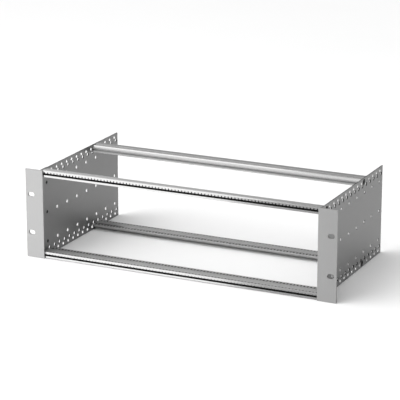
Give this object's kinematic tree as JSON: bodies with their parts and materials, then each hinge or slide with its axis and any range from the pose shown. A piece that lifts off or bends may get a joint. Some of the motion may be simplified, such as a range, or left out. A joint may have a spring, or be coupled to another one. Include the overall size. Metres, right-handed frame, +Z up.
{
  "type": "card subrack frame",
  "caption": "Open subrack frame for plug-in cards, with perforated side panels, slotted mounting flanges and grooved rails with threaded strips.",
  "frame": {"origin": "on the floor plane, under the middle of the frame's bounding box", "axes": "+X across the rack, +Y from the front flanges to the back, +Z up"},
  "size_m": [0.4826, 0.2374, 0.1325],
  "materials": {
    "panel_aluminium": "satin clear anodised sheet",
    "flange_aluminium": "satin clear anodised extrusion",
    "rail_aluminium": "satin clear anodised extrusion",
    "strip_steel": "zinc plated",
    "black_screw": "black oxide"
  },
  "bodies": {
    "root": {"flange_screws_lower": "black_screw", "flange_screws_middle": "black_screw", "flange_screws_upper": "black_screw", "front_rail_bottom": "rail_aluminium", "front_rail_top": "rail_aluminium", "mounting_flange_left": "flange_aluminium", "mounting_flange_right": "flange_aluminium", "rail_screws_front_bottom": "black_screw", "rail_screws_front_top": "black_screw", "rail_screws_rear_bottom": "black_screw", "rail_screws_rear_top": "black_screw", "rear_rail_bottom": "rail_aluminium", "rear_rail_top": "rail_aluminium", "side_panel_left": "panel_aluminium", "side_panel_right": "panel_aluminium", "threaded_strip_front_bottom": "strip_steel", "threaded_strip_front_top": "strip_steel", "threaded_strip_rear_bottom": "strip_steel", "threaded_strip_rear_top": "strip_steel"}
  },
  "joints": []
}
